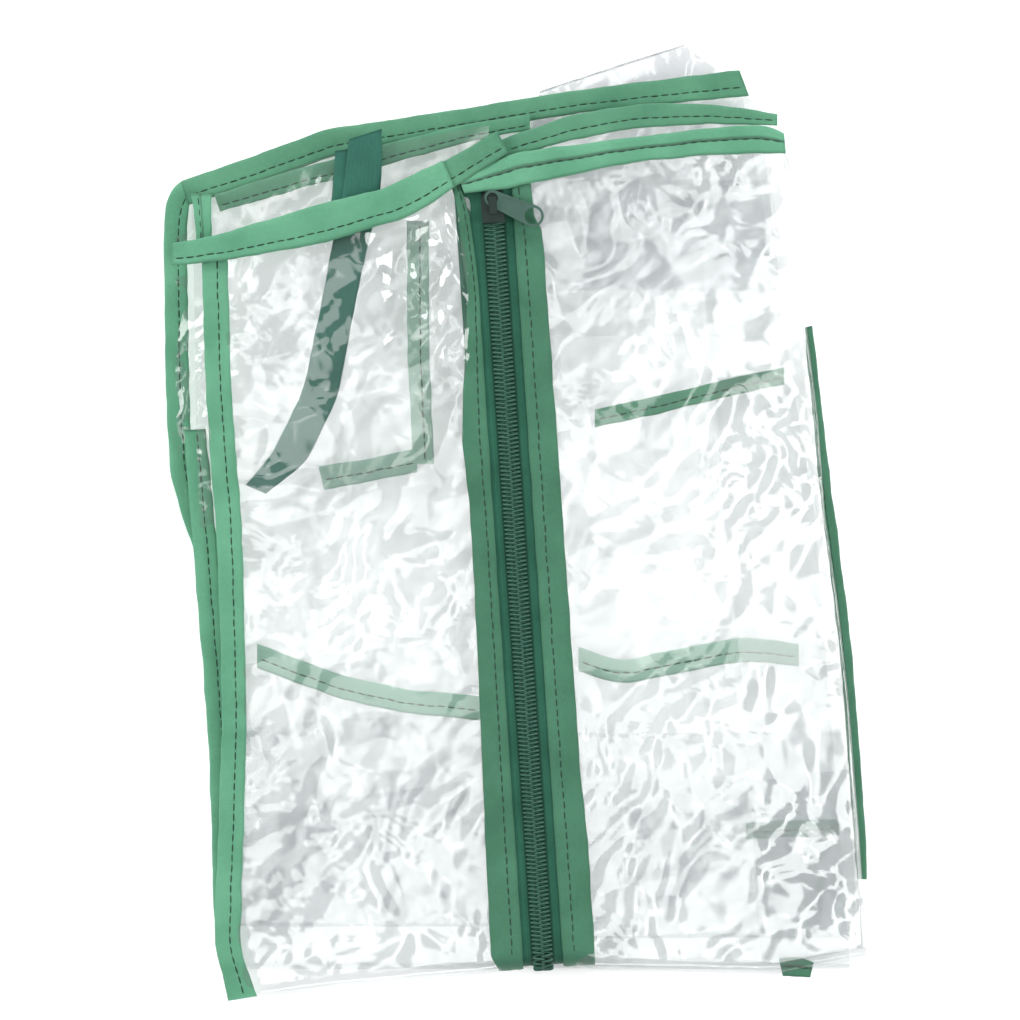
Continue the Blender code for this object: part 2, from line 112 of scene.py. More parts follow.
def floor_paint():
    """Matt white paper: an even white with only soft contact shadows."""
    made, tree = new_material("white_studio_sweep_paper")
    shader = node(tree, "ShaderNodeBsdfPrincipled",
                  {"Base Color": linear("#fdfdfd"), "Roughness": 0.9, "Specular IOR Level": 0.1,
                   "Emission Color": (1, 1, 1, 1), "Emission Strength": 0.33})
    node(tree, "ShaderNodeOutputMaterial", None, Surface=shader.outputs[0])
    return made


floor_mesh = bpy.data.meshes.new("studio_floor")
corners = [(x * FLOOR_HALF, y * FLOOR_HALF, 0) for x, y in ((-1, -1), (1, -1), (1, 1), (-1, 1))]
floor_mesh.from_pydata(corners, [], [(0, 1, 2, 3)])
floor_mesh.materials.append(floor_paint())
floor = bpy.data.objects.new("studio_floor", floor_mesh)
bpy.context.scene.collection.objects.link(floor)
floor.location.z = -FLOOR_DROP
print("floor", 2 * FLOOR_HALF, "m square")

# %% [markdown]
# ## Light
# Clear film is only visible by what it mirrors. Two soft boxes high above give the broad white glints,
# and three low ones light the cloth and the flanks of the wrinkles. The room between them is dimmer,
# and its reflection draws the rest of the wrinkles in grey.

# %% Lights
def soft_box(name, place, wide, tall, watts):
    """White soft box aimed at the middle of the cover."""
    data = bpy.data.lights.new(name, "AREA")
    data.shape, data.size, data.size_y = "RECTANGLE", wide, tall
    data.energy = watts
    lamp = bpy.data.objects.new(name, data)
    lamp.location = place
    lamp.rotation_euler = (-Vector(place)).to_track_quat("-Z", "Y").to_euler()
    bpy.context.scene.collection.objects.link(lamp)


soft_box("overhead_box", (0.02, -0.58, 3.6), 1.1, 1.16, 9.0)
soft_box("upper_right_box", (0.40, 0.33, 3.6), 0.74, 0.86, 4.8)
soft_box("left_box", (-2.4, 0.4, 1.6), 1.2, 2.2, 54)
soft_box("right_box", (2.4, -0.2, 1.7), 1.2, 2.2, 45)
soft_box("top_strip", (0.2, 2.6, 1.6), 2.2, 1.0, 42)
world = bpy.data.worlds.new("studio_room")
world.use_nodes = True
world.node_tree.nodes["Background"].inputs[0].default_value = linear("#eef1f2")
world.node_tree.nodes["Background"].inputs[1].default_value = 0.25
bpy.context.scene.world = world
bpy.context.scene.view_settings.view_transform = "Standard"
# A ray may pass every leaf and both faces of each fold.
bpy.context.scene.cycles.transparent_max_bounces = 64
print("lights", [thing.name for thing in bpy.data.lights])

# %% [markdown]
# ## Clear PVC film
# The panels are soft PVC sheet about a tenth of a millimetre thick. Light passes nearly all of it, and
# both faces mirror a little, more at a slant. A glass shader would bend the view at a single sheet, so
# a transparent shader is mixed with a mirror-smooth one. Their share follows Schlick's form of the
# Fresnel law, because Blender's own Fresnel node takes a sheet's back for the inside of a solid and
# turns it to a full mirror at a slant. A faint milky patchiness stands for the clouding where several
# leaves cling together.

# %% Film material
PVC_IOR = 1.54
# Head-on share mirrored by both faces together, a little under twice that of one.
TWO_FACES = 1.9 * ((PVC_IOR - 1) / (PVC_IOR + 1)) ** 2


def clear_pvc_film(name, haze_top, haze_hem, gloss_rough, tint="#f7f8f8"):
    """The clouded share of light grows from haze_top at the roof edge to haze_hem at the hem."""
    made, tree = new_material(name)
    where = node(tree, "ShaderNodeTexCoord").outputs["Object"]
    cloud = node(tree, "ShaderNodeTexNoise", {"Scale": 30.0, "Detail": 5.0, "Roughness": 0.6,
                                              "Distortion": 0.8}, Vector=where).outputs[0]
    patchy = node(tree, "ShaderNodeMapRange", {1: 0.35, 2: 0.68, 3: 0.35, 4: 1.0}, i0=cloud).outputs[0]
    up = node(tree, "ShaderNodeSeparateXYZ", None, i0=where).outputs[1]
    # The milky share changes with height alone, growing towards the hem.
    haze_by_height = node(tree, "ShaderNodeMapRange", {1: 0.09, 2: -0.09, 3: haze_top, 4: haze_hem},
                i0=up).outputs[0]
    haze = node(tree, "ShaderNodeMath", {"operation": "MULTIPLY"}, i0=patchy, i1=haze_by_height).outputs[0]
    clear = node(tree, "ShaderNodeBsdfTransparent", {"Color": linear(tint)})
    milk = node(tree, "ShaderNodeBsdfDiffuse", {"Color": linear("#efeff1")})
    body = node(tree, "ShaderNodeMixShader", None, i0=haze, i1=clear.outputs[0], i2=milk.outputs[0])
    slant = node(tree, "ShaderNodeLayerWeight", {"Blend": 0.5}).outputs["Facing"]
    steep = node(tree, "ShaderNodeMath", {"operation": "POWER", 1: 5.0}, i0=slant).outputs[0]
    both_faces = node(tree, "ShaderNodeMath", {"operation": "MULTIPLY_ADD", "use_clamp": True,
                                               1: 1 - TWO_FACES, 2: TWO_FACES}, i0=steep).outputs[0]
    mirror = node(tree, "ShaderNodeBsdfGlossy", {"Color": (1, 1, 1, 1), "Roughness": gloss_rough})
    skin = node(tree, "ShaderNodeMixShader", None, i0=both_faces, i1=body.outputs[0],
                i2=mirror.outputs[0])
    node(tree, "ShaderNodeOutputMaterial", None, Surface=skin.outputs[0])
    return made


outer_film = clear_pvc_film("clear_pvc_film_outer_leaf", 0.04, 0.10, 0.09)
inner_film = clear_pvc_film("clear_pvc_film_inner_leaf", 0.05, 0.10, 0.15)
doubled_film = clear_pvc_film("clear_pvc_film_doubled_roof_leaf", 0.10, 0.10, 0.15, "#eeeff0")
print("film materials:", outer_film.name, inner_film.name, doubled_film.name)

# %% [markdown]
# ## Crumples
# Film that has been folded many times keeps soft swells, sharp-crested wrinkles and fine creases. Cloth
# simulation could make them, but a stiff film's hard creases need very fine meshes, so the heights come
# from seeded gradient noise: plain for the swells, and folded at zero (its absolute value) for crests.
# Flat-sided dents between them come from the distances to scattered points.

# %% Noise and crumple heights
def lattice(ix, iy, seed):
    """Repeatable pseudo-random numbers from 0 to 1 on whole-number places."""
    h = (ix * 374761393 + iy * 668265263 + seed * 1274126177) & 0xFFFFFFFF
    h = ((h ^ (h >> 13)) * 1103515245) & 0xFFFFFFFF
    h = ((h ^ (h >> 15)) * 2246822519) & 0xFFFFFFFF
    return ((h ^ (h >> 16)) & 0xFFFFFF) / 0xFFFFFF


def noise(x, y, seed):
    """Gradient noise from about -1 to 1; x and y are arrays in noise cells."""
    ix, iy = np.floor(x).astype(np.int64), np.floor(y).astype(np.int64)
    fx, fy = x - ix, y - iy
    ux, uy = fx * fx * fx * (fx * (fx * 6 - 15) + 10), fy * fy * fy * (fy * (fy * 6 - 15) + 10)
    total = 0.0
    for dx in (0, 1):
        for dy in (0, 1):
            turn = lattice(ix + dx, iy + dy, seed) * 2 * math.pi
            dot = np.cos(turn) * (fx - dx) + np.sin(turn) * (fy - dy)
            total = total + dot * (ux if dx else 1 - ux) * (uy if dy else 1 - uy)
    return total * 1.5


def ridges(x, y, lean, long, short, seed):
    """Sharp-crested wrinkles about short millimetres apart, running along lean; -1 to 1."""
    run, side = x * math.cos(lean) + y * math.sin(lean), y * math.cos(lean) - x * math.sin(lean)
    return 1 - 2.2 * np.abs(noise(run / long, side / short, seed))


def facets(x, y, cell, seed):
    """Flat-sided dents about cell millimetres wide that meet in sharp valleys; 0 in the valleys."""
    x, y = x / cell, y / cell
    ix, iy = np.floor(x).astype(np.int64), np.floor(y).astype(np.int64)
    near, next_near = np.full(x.shape, 9.0), np.full(x.shape, 9.0)
    for dx in (-1, 0, 1):
        for dy in (-1, 0, 1):
            jx, jy = lattice(ix + dx, iy + dy, seed), lattice(ix + dx, iy + dy, seed + 5)
            gap = np.hypot(ix + dx + jx - x, iy + dy + jy - y)
            next_near = np.minimum(next_near, np.maximum(near, gap))
            near = np.minimum(near, gap)
    return next_near - near


def crumple(x, y, seed, swell=1.0, wrinkle=0.7, crease=0.24, dent=0.9, lean=0.9):
    """Height in millimetres at x, y (millimetres); the depths are millimetres too."""
    x, y = np.asarray(x, float), np.asarray(y, float)
    warp_x = x + 13 * noise(x / 41, y / 41, seed + 1) + 4 * noise(x / 14, y / 14, seed + 2)
    warp_y = y + 13 * noise(x / 41 + 7, y / 41, seed + 3) + 4 * noise(x / 14, y / 14 + 5, seed + 4)
    soft = noise(x / 55, y / 55, seed + 6) + 0.6 * noise(x / 27, y / 27, seed + 7)
    one = ridges(warp_x, warp_y, lean, 36, 14, seed + 8)
    two = ridges(warp_x, warp_y, lean + 1.2, 22, 8.5, seed + 9)
    fine = ridges(warp_x, warp_y, lean - 0.5, 11, 4.2, seed + 10)
    busy = np.clip(0.45 + 1.3 * noise(x / 50, y / 50, seed + 11), 0, 1)
    bent_x, bent_y = x + 5 * noise(x / 18, y / 18, seed + 12), y + 5 * noise(x / 18, y / 18, seed + 13)
    dents = facets(bent_x, bent_y, 24, seed + 14) + 0.5 * busy * facets(bent_x, bent_y, 10, seed + 15)
    return swell * soft + wrinkle * (0.6 * one + 0.4 * two * busy) + crease * fine * busy + dent * dents


print("noise span:", noise(np.linspace(0, 40, 500), np.linspace(3, 9, 500), 1).round(2).min())

# %% [markdown]
# ## From outlines to grids
# Every soft piece here is a grid of points: across and along a leaf of film, or round and along a tape.
# Outlines are short lists in millimetres, read at even steps and eased at their corners.

# %% Lines and grids
def polyline(points, count):
    """count evenly spaced points on a polyline, in millimetres."""
    points = np.array(points, float)
    steps = np.r_[0, np.cumsum(np.linalg.norm(np.diff(points, axis=0), axis=1))]
    want = np.linspace(0, steps[-1], count)
    return np.stack([np.interp(want, steps, points[:, k]) for k in range(points.shape[1])], 1)


def eased(points, count, reach=4.0):
    """The same with its corners rounded over about reach millimetres."""
    line = polyline(points, count)
    step = np.linalg.norm(line[1] - line[0])
    for _ in range(int(2 * (reach / max(step, 1e-6)) ** 2)):
        line[1:-1] = (line[:-2] + 2 * line[1:-1] + line[2:]) / 4
    return line


def length_of(points):
    return float(np.linalg.norm(np.diff(np.array(points, float), axis=0), axis=1).sum())


def ease(x):
    x = np.clip(x, 0, 1)
    return x * x * (3 - 2 * x)


def grid_object(name, places, material, closed=False, marks=None):
    """places is (rows, columns, 3) in millimetres; closed joins the last column to the first and
    shuts both ends. marks, one triple for each point, is kept for the material."""
    rows, columns = places.shape[:2]
    index = np.arange(rows * columns).reshape(rows, columns)
    if closed:
        index = np.concatenate([index, index[:, :1]], 1)
    quads = np.stack([index[:-1, :-1], index[:-1, 1:], index[1:, 1:], index[1:, :-1]], -1)
    faces = quads.reshape(-1, 4).tolist()
    if closed:
        half = columns // 2
        for row, flip in ((index[0, :-1], False), (index[-1, :-1], True)):
            for k in range(half - 1):
                quad = [row[k], row[k + 1], row[columns - 2 - k], row[columns - 1 - k]]
                faces.append([int(v) for v in (quad[::-1] if flip else quad)])
    mesh = bpy.data.meshes.new(name)
    mesh.from_pydata((places.reshape(-1, 3) * MM).tolist(), [], faces)
    if marks is not None:
        layer = mesh.attributes.new("tape_mm", "FLOAT_VECTOR", "POINT")
        layer.data.foreach_set("vector", np.asarray(marks, np.float32).reshape(-1))
    mesh.materials.append(material)
    mesh.shade_smooth()
    made = bpy.data.objects.new(name, mesh)
    bpy.context.scene.collection.objects.link(made)
    return made


# %% [markdown]
# ## Leaves of film
# Each panel is one sheet: a leaf between four edges that may turn under itself at its bottom and right
# fold. The edges give a blended patch (each point is pulled by all four), the folds are half rounds, and
# the crumples are added as height, dying out where sewn tape holds the film flat.

# %% Film leaf maker
HELD_REACH = 10.0


def patch(top, bottom, left, right, us, vs):
    """Blended patch between four edges; us and vs give the columns and rows."""
    def read(edge, at):
        line = polyline(edge, 400)
        return np.stack([np.interp(at, np.linspace(0, 1, 400), line[:, k]) for k in (0, 1)], -1)
    t, b, l, r = read(top, us), read(bottom, us), read(left, vs), read(right, vs)
    u, v = us[None, :, None], vs[:, None, None]
    flat = (1 - v) * t[None] + v * b[None] + (1 - u) * l[:, None] + u * r[:, None]
    ends = [np.array(p, float) for p in (top[0], top[-1], bottom[0], bottom[-1])]
    corners = (1 - v) * ((1 - u) * ends[0] + u * ends[1]) + v * ((1 - u) * ends[2] + u * ends[3])
    return flat - corners


def fold_steps(long, under, step):
    """Places from 0 to 1 along a leaf and the turn at each, for one that turns under at its end."""
    places = list(np.linspace(0, 1, max(int(long / step), 8)))
    turns = [0.0] * len(places)
    if under:
        places += [1.0] * 7
        turns += list(np.linspace(0, math.pi, 9)[1:-1])
        back = list(1 - np.linspace(0, under / long, max(int(under / step), 4)))
        places, turns = places + back, turns + [math.pi] * len(back)
    return np.array(places), np.array(turns)


def edge_fade(u, v, wide, long, reach, sides):
    """0 on the held sides (t, b, l, r), 1 at reach millimetres from them."""
    fade = np.ones((len(v), len(u)))
    for side, gap in (("l", u[None, :] * wide), ("r", (1 - u[None, :]) * wide),
                      ("t", v[:, None] * long), ("b", (1 - v[:, None]) * long)):
        if side in sides:
            fade = fade * ease(gap / reach + 0.08)
    return fade


def film_leaf(name, node_name, material, level, top, bottom, left, right, held="t", seed=1, step=1.2,
              bottom_under=0.0, right_under=0.0, drop=4.4, side_drop=1.4, amount=1.0, busy=(), **depths):
    """One crumpled panel on body cover that stands for the CAD solid node_name."""
    wide = (length_of(top) + length_of(bottom)) / 2
    long = (length_of(left) + length_of(right)) / 2
    us, side_turn = fold_steps(wide, right_under, step)
    vs, end_turn = fold_steps(long, bottom_under, step)
    flat = patch(top, bottom, left, right, us, vs)
    under_share = (1 - np.cos(side_turn)) / 2
    end_share = (1 - np.cos(end_turn)) / 2
    end_drop = drop - (drop - 1.6) * under_share
    x = flat[..., 0] + side_drop / 2 * np.sin(side_turn)[None, :]
    y = flat[..., 1] - end_drop[None, :] / 2 * np.sin(end_turn)[:, None]
    # The upper part is crumpled most, and the depth eases off towards the hem.
    own = crumple(x, y, seed, **depths) * (1.35 - 0.6 * ease((95 - y) / 150))
    for centre_x, centre_y, reach, gain in busy:
        own = own * (1 + (gain - 1) * ease(1.4 - np.hypot(x - centre_x, y - centre_y) / reach))
    fade = edge_fade(us, vs, wide, long, HELD_REACH, held)
    fold = 1 - 0.55 * np.maximum(np.sin(end_turn)[:, None], np.sin(side_turn)[None, :])
    z = level - side_drop * under_share[None, :] - end_drop[None, :] * end_share[:, None]
    z = z + shared_swell(x, y) + own * amount * fade * fold
    made = grid_object(name, np.stack([x, y, np.maximum(z, 0.15)], -1), material)
    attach(made, "cover")
    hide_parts(node_name)
    return made


def shared_swell(x, y):
    """Slow rise and fall that all leaves share, because they lie on each other; millimetres."""
    return 0.8 * noise(x / 75 + 3.3, y / 75 + 1.7, 77)


# %% [markdown]
# The zip is the straight backbone of the front: it is measured along its length from the slider's foot
# and across from the coil's middle. The doors end beside it, under the tapes that bind them.

# %% Zip line
ZIP_TOP = np.array([-7.4, 105.7])
ZIP_END = np.array([9.8, -153.0])
ZIP_LONG = float(np.linalg.norm(ZIP_END - ZIP_TOP))
DOWN = (ZIP_END - ZIP_TOP) / ZIP_LONG
ACROSS = np.array([-DOWN[1], DOWN[0]])
FRONT = 15.6
FOLD_R = 4.6


def on_zip(s, t):
    return tuple(ZIP_TOP + s * DOWN + t * ACROSS)


def zip_place(s, t, h):
    """Point s along, t across and h above the front leaf's middle; past the fold it turns under."""
    s, t, h = np.broadcast_arrays(np.asarray(s, float), np.asarray(t, float), np.asarray(h, float))
    straight = ZIP_LONG - FOLD_R
    turn = np.clip((s - straight) / FOLD_R, 0, math.pi)
    past = np.maximum(s - straight - math.pi * FOLD_R, 0)
    ground = np.minimum(s, straight) + (FOLD_R + h) * np.sin(turn) - past
    z = FRONT - FOLD_R + (FOLD_R + h) * np.cos(turn)
    xy = ZIP_TOP + ground[..., None] * DOWN + t[..., None] * ACROSS
    return np.concatenate([xy, z[..., None]], -1)


print("zip length mm", round(ZIP_LONG, 1))

# %% Front doors
door_left_top = [(-105.5, 91.5), (-64.2, 103.8), (-38.0, 112.0), (-27.0, 117.0), on_zip(-6, -7.8)]
film_leaf(
    "front_left_film", "front_left_panel", outer_film, FRONT, door_left_top,
    [(-96.8, -161.2), (-53.1, -155.6), (-7.2, -151.6), on_zip(ZIP_LONG - FOLD_R, -7.8)],
    [(-105.5, 91.5), (-104.4, 48.8), (-102.5, 15.4), (-99.9, -9.8), (-98.6, -67.1), (-99.8, -107.8),
     (-101.2, -144.0), (-96.8, -161.2)],
    [on_zip(-6, -7.8), on_zip(ZIP_LONG - FOLD_R, -7.8)], held="tlr", seed=11, bottom_under=60.0, drop=9.0,
    busy=((-18.0, 78.0, 30.0, 2.5), (-68.0, 60.0, 34.0, 0.6)))
film_leaf(
    "front_right_film", "front_right_panel", outer_film, FRONT,
    [on_zip(-12, 7.8), (6.0, 120.5), (40.0, 127.5), (69.0, 131.0), (91.6, 129.0)],
    [on_zip(ZIP_LONG - FOLD_R, 7.8), (27.0, -150.4), (91.0, -152.0), (104.0, -149.6), (120.7, -146.6)],
    [on_zip(-12, 7.8), on_zip(ZIP_LONG - FOLD_R, 7.8)],
    [(91.6, 129.0), (94.4, 124.0), (98.0, 93.7), (99.9, 67.8), (103.9, 35.0), (106.3, 2.2),
     (110.6, -27.0), (114.3, -60.0), (118.0, -106.0), (120.7, -146.6)], held="tl", seed=23,
    bottom_under=60.0, right_under=34.0, drop=9.0, amount=0.8,
    busy=((70.0, -110.0, 60.0, 1.6), (78.0, 92.0, 40.0, 0.5)))

# %% [markdown]
# Behind the doors lie the side walls, a strip at the top, the back and a corner of the roof. They are
# the same film with more haze, each at its own lower level and held only where tape is sewn to it.

# %% Inner leaves
film_leaf(
    "left_side_film", "left_side_panel", inner_film, 10.8,
    [(-112.0, 110.0), (-62.0, 127.0), (-9.0, 137.0)], [(-102.0, -139.0), (-9.0, -139.0)],
    [(-112.0, 110.0), (-111.0, 90.0), (-110.0, 31.0), (-108.5, -10.0), (-105.5, -51.0), (-103.5, -82.0),
     (-102.0, -139.0)],
    [(-9.0, 137.0), (-9.0, -139.0)], held="t", seed=37, step=1.3, bottom_under=70.0, drop=2.0,
    amount=0.9, busy=((-108.0, 70.0, 26.0, 3.2), (-108.0, 25.0, 26.0, 2.8), (-45.0, 120.0, 30.0, 1.2)))
film_leaf(
    "right_side_film", "right_side_panel", inner_film, 10.8, [(-5.0, 118.0), (88.0, 118.0)],
    [(-5.0, -143.0), (118.0, -143.0)], [(-5.0, 118.0), (-5.0, -143.0)],
    [(88.0, 118.0), (98.0, 68.0), (103.6, 14.0), (110.6, -41.0), (113.0, -67.0), (117.0, -116.0),
     (118.0, -143.0)], held="r", seed=41, step=1.5, bottom_under=70.0, drop=2.0, amount=0.75)
film_leaf(
    "side_top_film", "side_top_panel", inner_film, 13.2, [(-2.0, 129.5), (22.0, 136.0), (48.0, 140.0),
                                                           (74.0, 140.5), (88.5, 139.0)],
    [(-2.0, 64.0), (88.0, 64.0)], [(-2.0, 129.5), (-2.0, 64.0)], [(88.5, 139.0), (88.0, 64.0)],
    held="t", seed=53, step=1.3, amount=0.7)
film_leaf(
    "back_film", "back_panel", inner_film, 6.0,
    [(-113.5, 112.5), (-89.0, 121.0), (-60.0, 130.5), (-31.0, 136.0), (6.0, 142.5), (29.0, 146.5),
     (78.0, 151.5)],
    [(-98.0, -153.0), (116.0, -153.0)],
    [(-113.5, 112.5), (-117.5, 105.0), (-117.4, 40.0), (-115.5, 15.0), (-108.0, -10.0), (-98.0, -153.0)],
    [(78.0, 151.5), (84.0, 120.0), (104.0, 0.0), (116.0, -153.0)], held="t", seed=67, step=1.5,
    bottom_under=110.0, drop=4.0, amount=0.8, busy=((-112.0, 60.0, 40.0, 2.5),))
film_leaf(
    "roof_film", "roof_panel", doubled_film, 4.2, [(-10.0, 80.0), (92.0, 80.0)],
    [(8.6, 149.0), (34.0, 157.5), (58.6, 165.2)], [(-10.0, 80.0), (8.6, 149.0)],
    [(92.0, 80.0), (84.5, 143.7), (70.7, 155.8), (58.6, 165.2)], held="", seed=71, step=1.0,
    bottom_under=20.0, drop=1.6, amount=0.9)

# %% [markdown]
# ## Woven polyester binding
# The panel edges are wrapped in a plain-woven polyester tape folded round the film and sewn through
# once. The weave is a fine grid of warp and weft threads, drawn at 0.7 mm, coarser than the usual
# 0.3 mm so that it shows. Yarn scatters light, so the tape is matt with a slight sheen at a slant.

# %% Tape material
def woven_tape(name, base, dark, light, warp=0.7, weft=0.7, depth=0.05, rough=0.78, ribs=0.0,
               coil_shadow_reach=0.0):
    """Colour and bump of a woven tape; its marks hold millimetres along and across. Within the given reach
    (the last argument, in millimetres) of the middle it is darkened nearly to black: painted shadow of the
    coil on it."""
    made, tree = new_material(name)
    marks = node(tree, "ShaderNodeAttribute", {"attribute_name": "tape_mm"}).outputs["Vector"]
    along, across = node(tree, "ShaderNodeSeparateXYZ", None, i0=marks).outputs[:2]

    def wave(source, pitch):
        turn = node(tree, "ShaderNodeMath", {"operation": "MULTIPLY", 1: 2 * math.pi / pitch}, i0=source)
        return node(tree, "ShaderNodeMath", {"operation": "SINE"}, i0=turn.outputs[0]).outputs[0]

    yarn = node(tree, "ShaderNodeMath", {"operation": "MULTIPLY"}, i0=wave(along, weft),
                i1=wave(across, warp)).outputs[0]
    if ribs:
        rib = node(tree, "ShaderNodeMath", {"operation": "MULTIPLY", 1: ribs}, i0=wave(across, 1.45))
        yarn = node(tree, "ShaderNodeMath", {"operation": "ADD"}, i0=yarn, i1=rib.outputs[0]).outputs[0]
    where = node(tree, "ShaderNodeTexCoord").outputs["Object"]
    blotch = node(tree, "ShaderNodeTexNoise", {"Scale": 55.0, "Detail": 3.0}, Vector=where).outputs[0]
    fleck = node(tree, "ShaderNodeTexNoise", {"Scale": 900.0, "Detail": 2.0}, Vector=where).outputs[0]
    tone = node(tree, "ShaderNodeMix", {"data_type": "RGBA", 6: linear(dark), 7: linear(light)},
                i0=node(tree, "ShaderNodeMapRange", {1: 0.3, 2: 0.7}, i0=blotch).outputs[0]).outputs[2]
    tone = node(tree, "ShaderNodeMix", {"data_type": "RGBA", 0: 0.4, 7: linear(base)}, i6=tone).outputs[2]
    shade = node(tree, "ShaderNodeMapRange", {1: -1.0, 2: 1.0, 3: 0.86, 4: 1.08}, i0=yarn).outputs[0]
    grain = node(tree, "ShaderNodeMapRange", {1: 0.25, 2: 0.75, 3: 0.94, 4: 1.06}, i0=fleck).outputs[0]
    both = node(tree, "ShaderNodeMath", {"operation": "MULTIPLY"}, i0=shade, i1=grain).outputs[0]
    colour = node(tree, "ShaderNodeVectorMath", {"operation": "SCALE"}, i0=tone, Scale=both).outputs[0]
    # Painted shadow of the coil: near the middle the tape is darkened nearly to black.
    if coil_shadow_reach:
        off = node(tree, "ShaderNodeMath", {"operation": "ABSOLUTE"}, i0=across).outputs[0]
        painted_coil_shadow = node(tree, "ShaderNodeMapRange", {1: coil_shadow_reach - 0.6, 2: coil_shadow_reach + 0.5, 3: 0.22, 4: 1.0},
                    i0=off).outputs[0]
        colour = node(tree, "ShaderNodeVectorMath", {"operation": "SCALE"}, i0=colour,
                      Scale=painted_coil_shadow).outputs[0]
    bump = node(tree, "ShaderNodeBump", {"Strength": 0.6, "Distance": depth * MM}, Height=yarn).outputs[0]
    shader = node(tree, "ShaderNodeBsdfPrincipled",
                  {"Roughness": rough, "Sheen Weight": 0.25, "Sheen Roughness": 0.5,
                   "Specular IOR Level": 0.25}, Base_Color=colour, Normal=bump)
    node(tree, "ShaderNodeOutputMaterial", None, Surface=shader.outputs[0])
    return made


def thread_material(name, colour):
    """Twisted polyester sewing thread: dark, a little shiny."""
    made, tree = new_material(name)
    where = node(tree, "ShaderNodeTexCoord").outputs["Object"]
    twist = node(tree, "ShaderNodeTexWave", {"Scale": 900.0, "Distortion": 1.0}, Vector=where).outputs[1]
    bump = node(tree, "ShaderNodeBump", {"Strength": 0.4, "Distance": 0.05 * MM}, Height=twist).outputs[0]
    shader = node(tree, "ShaderNodeBsdfPrincipled", {"Base Color": linear(colour), "Roughness": 0.55},
                  Normal=bump)
    node(tree, "ShaderNodeOutputMaterial", None, Surface=shader.outputs[0])
    return made


# One tape in four tones: as lit in the open, a painted shade for the stack's shade, a deeper painted shade
# beside the zip and at other dark edges, and painted paler under cloudy film.
binding_green = woven_tape("woven_polyester_binding_green", "#67aa87", "#579877", "#74b793")
binding_shade = woven_tape("woven_polyester_binding_shaded", "#5c9878", "#4d886a", "#68a582")
binding_deep_shade = woven_tape("woven_polyester_binding_painted_deep_shade", "#487e63", "#3c6f54", "#538b6e")
binding_painted_haze = woven_tape("woven_polyester_binding_painted_pale_under_film", "#93bda8", "#7fae97", "#a3c9b6")
seam_thread = thread_material("polyester_sewing_thread", "#17392a")
print("tapes:", [m.name for m in (binding_green, binding_shade, binding_deep_shade, binding_painted_haze)])

# %% [markdown]
# A binding is swept along the panel's edge: at each station a folded section of tape, shut and rounded
# outside, pulled in a little where the seam runs and open towards the panel. Small ripples keep it from
# looking machined. The stitches are real little thread capsules lying in the seam's dip.

# %% Binding and stitch makers
TAPE_THICK = 0.35
SEAM_INSET = 1.0


def folded_section(half, seam):
    """Half-heights of a folded tape at shares of its width, from the fold to the open edge."""
    shares = np.array([0.0, 0.03, 0.09, 0.2, 0.35, 0.5, seam - 0.07, seam, seam + 0.07, 0.88, 1.0])
    heights = half * np.array([0.0, 0.55, 0.85, 1.0, 1.05, 1.02, 0.97, 0.8, 0.95, 0.98, 0.9])
    return shares, heights


def sweep_tape(name, outer, inner, level, half=0.95, seam=0.72, ripple=0.3, seed=1, material=None):
    """Tape folded round an edge; outer is its fold, inner its open edge, both as millimetre lists."""
    long = length_of(outer)
    count = max(int(long / 1.3), 6)
    out_line, in_line = eased(outer, count), eased(inner, count)
    s = np.linspace(0, long, count)

    def wob(k, pitch, size):
        return size * noise(s / pitch, np.full(count, k * 7.3), seed + k)

    across = in_line - out_line
    across /= np.linalg.norm(across, axis=1, keepdims=True)
    out_line = out_line + across * (wob(1, 11, ripple) + wob(2, 4, ripple * 0.4))[:, None]
    in_line = in_line + across * (wob(3, 9, ripple) + wob(4, 3.6, ripple * 0.5))[:, None]
    shares, heights = folded_section(half, seam)
    wide = np.linalg.norm(in_line - out_line, axis=1)
    top = np.stack([shares, heights], 1)
    inside = np.stack([np.clip(shares, 0.06, 1.0), np.maximum(heights - TAPE_THICK, 0.05)], 1)[::-1]
    upper = np.concatenate([top[1:], inside[:-1]])
    lower = upper[::-1] * [1, -1]
    section = np.concatenate([upper, lower])
    rise = shared_swell(out_line[:, 0], out_line[:, 1])
    place = out_line[:, None, :] + across[:, None, :] * (wide[:, None, None] * section[None, :, :1])
    puck = 0.22 * noise(s / 4.2, np.full(count, 2.0), seed + 9)[:, None] * section[None, :, 0] ** 2
    wave = 0.7 * noise(s / 13, np.full(count, 5.0), seed + 12)[:, None]
    z = level + rise[:, None] + wave + puck + section[None, :, 1]
    marks = np.stack([np.broadcast_to(s[:, None], z.shape),
                      wide[:, None] * section[None, :, 0] * np.sign(section[None, :, 1] + 1e-9),
                      np.zeros_like(z)], -1)
    made = grid_object(name, np.concatenate([place, z[..., None]], -1), material or binding_green,
                       closed=True, marks=marks)
    seam_xy = out_line + across * (wide * seam)[:, None]
    crown = level + rise + wave[:, 0] + 0.22 * noise(s / 4.2, np.full(count, 2.0), seed + 9) * seam ** 2
    seam_line = np.concatenate([seam_xy, (crown + half * 0.8)[:, None]], 1)
    return made, seam_line


